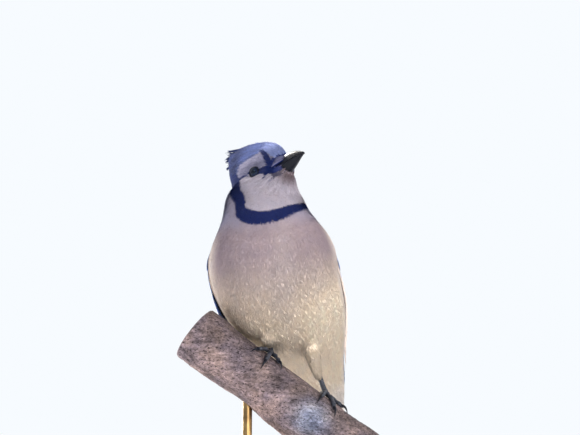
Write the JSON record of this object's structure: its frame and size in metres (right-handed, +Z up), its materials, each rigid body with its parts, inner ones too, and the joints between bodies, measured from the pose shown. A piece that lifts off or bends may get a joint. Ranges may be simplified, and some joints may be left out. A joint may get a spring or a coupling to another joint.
{
  "type": "blue jay",
  "caption": "Life-size crested songbird, blue above and pale below with a black collar, gripping a short sloping cut branch held by a round display stand.",
  "frame": {"origin": "middle of the stand base's underside", "axes": "+Z up; the breast faces -Y, the bird's left side is +X and the tail hangs towards +Y; the head is turned to its own left"},
  "size_m": [0.15, 0.1664, 0.2981],
  "materials": {
    "plumage_blue": "soft feathers with a faint sheen",
    "plumage_pale": "soft matte feathers",
    "bill_horn": "smooth dark horn, satin",
    "eye": "wet gloss",
    "leg_skin": "scaly dark skin, satin",
    "bark": "rough grey-brown bark with pale cut ends",
    "stand_wood": "dark varnish",
    "stand_metal": "brushed, satin"
  },
  "bodies": {
    "root": {"head": "plumage_blue", "neck": "plumage_pale", "trunk": "plumage_pale", "tail": "plumage_blue", "wing_left": "plumage_blue", "wing_right": "plumage_blue", "leg_left": "plumage_pale", "leg_right": "plumage_pale", "foot_left": "leg_skin", "foot_right": "leg_skin", "eye_left": "eye", "eye_right": "eye", "bill_upper": "bill_horn", "bill_lower": "bill_horn", "perch": "bark", "stand_base": "stand_wood", "stand_rod_1": "stand_metal", "stand_rod_2": "stand_metal"}
  },
  "joints": []
}
